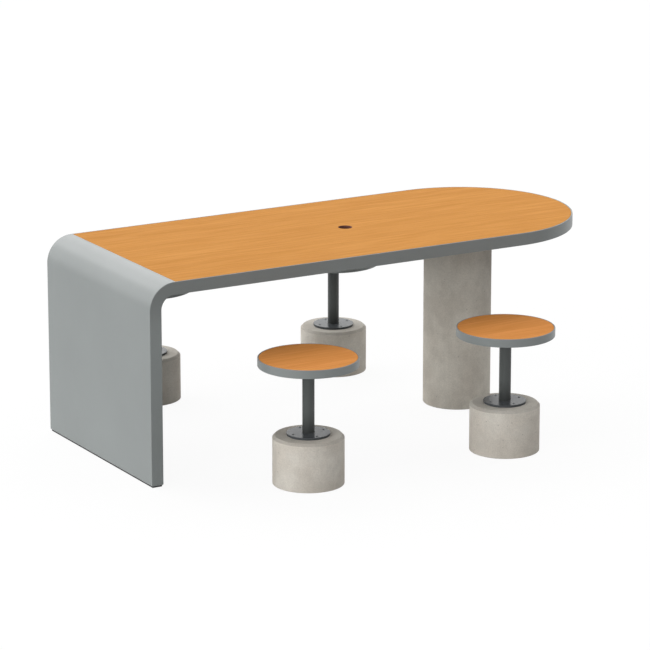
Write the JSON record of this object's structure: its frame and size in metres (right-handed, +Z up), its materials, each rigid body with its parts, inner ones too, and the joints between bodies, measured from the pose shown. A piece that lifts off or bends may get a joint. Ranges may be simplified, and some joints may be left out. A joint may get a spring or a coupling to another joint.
{
  "type": "table with stools",
  "caption": "Long table with a waterfall leg panel at one end and a round end on a concrete column, with loose round stools on concrete bases.",
  "frame": {"origin": "on the floor, under the centre of the set's overall box, midway along the table", "axes": "+X from the leg panel to the round end, +Y to the back, +Z up"},
  "size_m": [1.9, 1.564, 0.72],
  "materials": {
    "casing_coat": "satin",
    "wood_board": "satin",
    "concrete": "rough",
    "flange_steel": "satin",
    "post_coat": "satin",
    "inner_steel": "mill",
    "foot_rubber": "matte"
  },
  "bodies": {
    "root": {"waterfall_skin": "casing_coat", "panel_lining": "casing_coat", "soffit_sheet": "casing_coat", "front_cheek": "casing_coat", "back_cheek": "casing_coat", "round_end_band": "casing_coat", "foot_bar": "casing_coat", "foot_strip": "foot_rubber", "top_inlay": "wood_board", "inlay_deck": "inner_steel", "parasol_sleeve": "casing_coat", "slab_ribs": "inner_steel", "panel_ribs": "inner_steel", "slab_boss_plate": "inner_steel", "pedestal_head_plate": "flange_steel", "slab_bolts": "flange_steel", "pedestal_anchor_tube": "inner_steel", "pedestal_column": "concrete", "front_left_base": "concrete", "front_left_flange": "flange_steel", "front_left_post": "post_coat", "front_left_seat_plate": "post_coat", "front_left_seat_pan": "casing_coat", "front_left_seat_spider": "inner_steel", "front_left_seat_inlay": "wood_board", "front_right_base": "concrete", "front_right_flange": "flange_steel", "front_right_post": "post_coat", "front_right_seat_plate": "post_coat", "front_right_seat_pan": "casing_coat", "front_right_seat_spider": "inner_steel", "front_right_seat_inlay": "wood_board", "back_left_base": "concrete", "back_left_flange": "flange_steel", "back_left_post": "post_coat", "back_left_seat_plate": "post_coat", "back_left_seat_pan": "casing_coat", "back_left_seat_spider": "inner_steel", "back_left_seat_inlay": "wood_board", "back_right_base": "concrete", "back_right_flange": "flange_steel", "back_right_post": "post_coat", "back_right_seat_plate": "post_coat", "back_right_seat_pan": "casing_coat", "back_right_seat_spider": "inner_steel", "back_right_seat_inlay": "wood_board"}
  },
  "joints": []
}
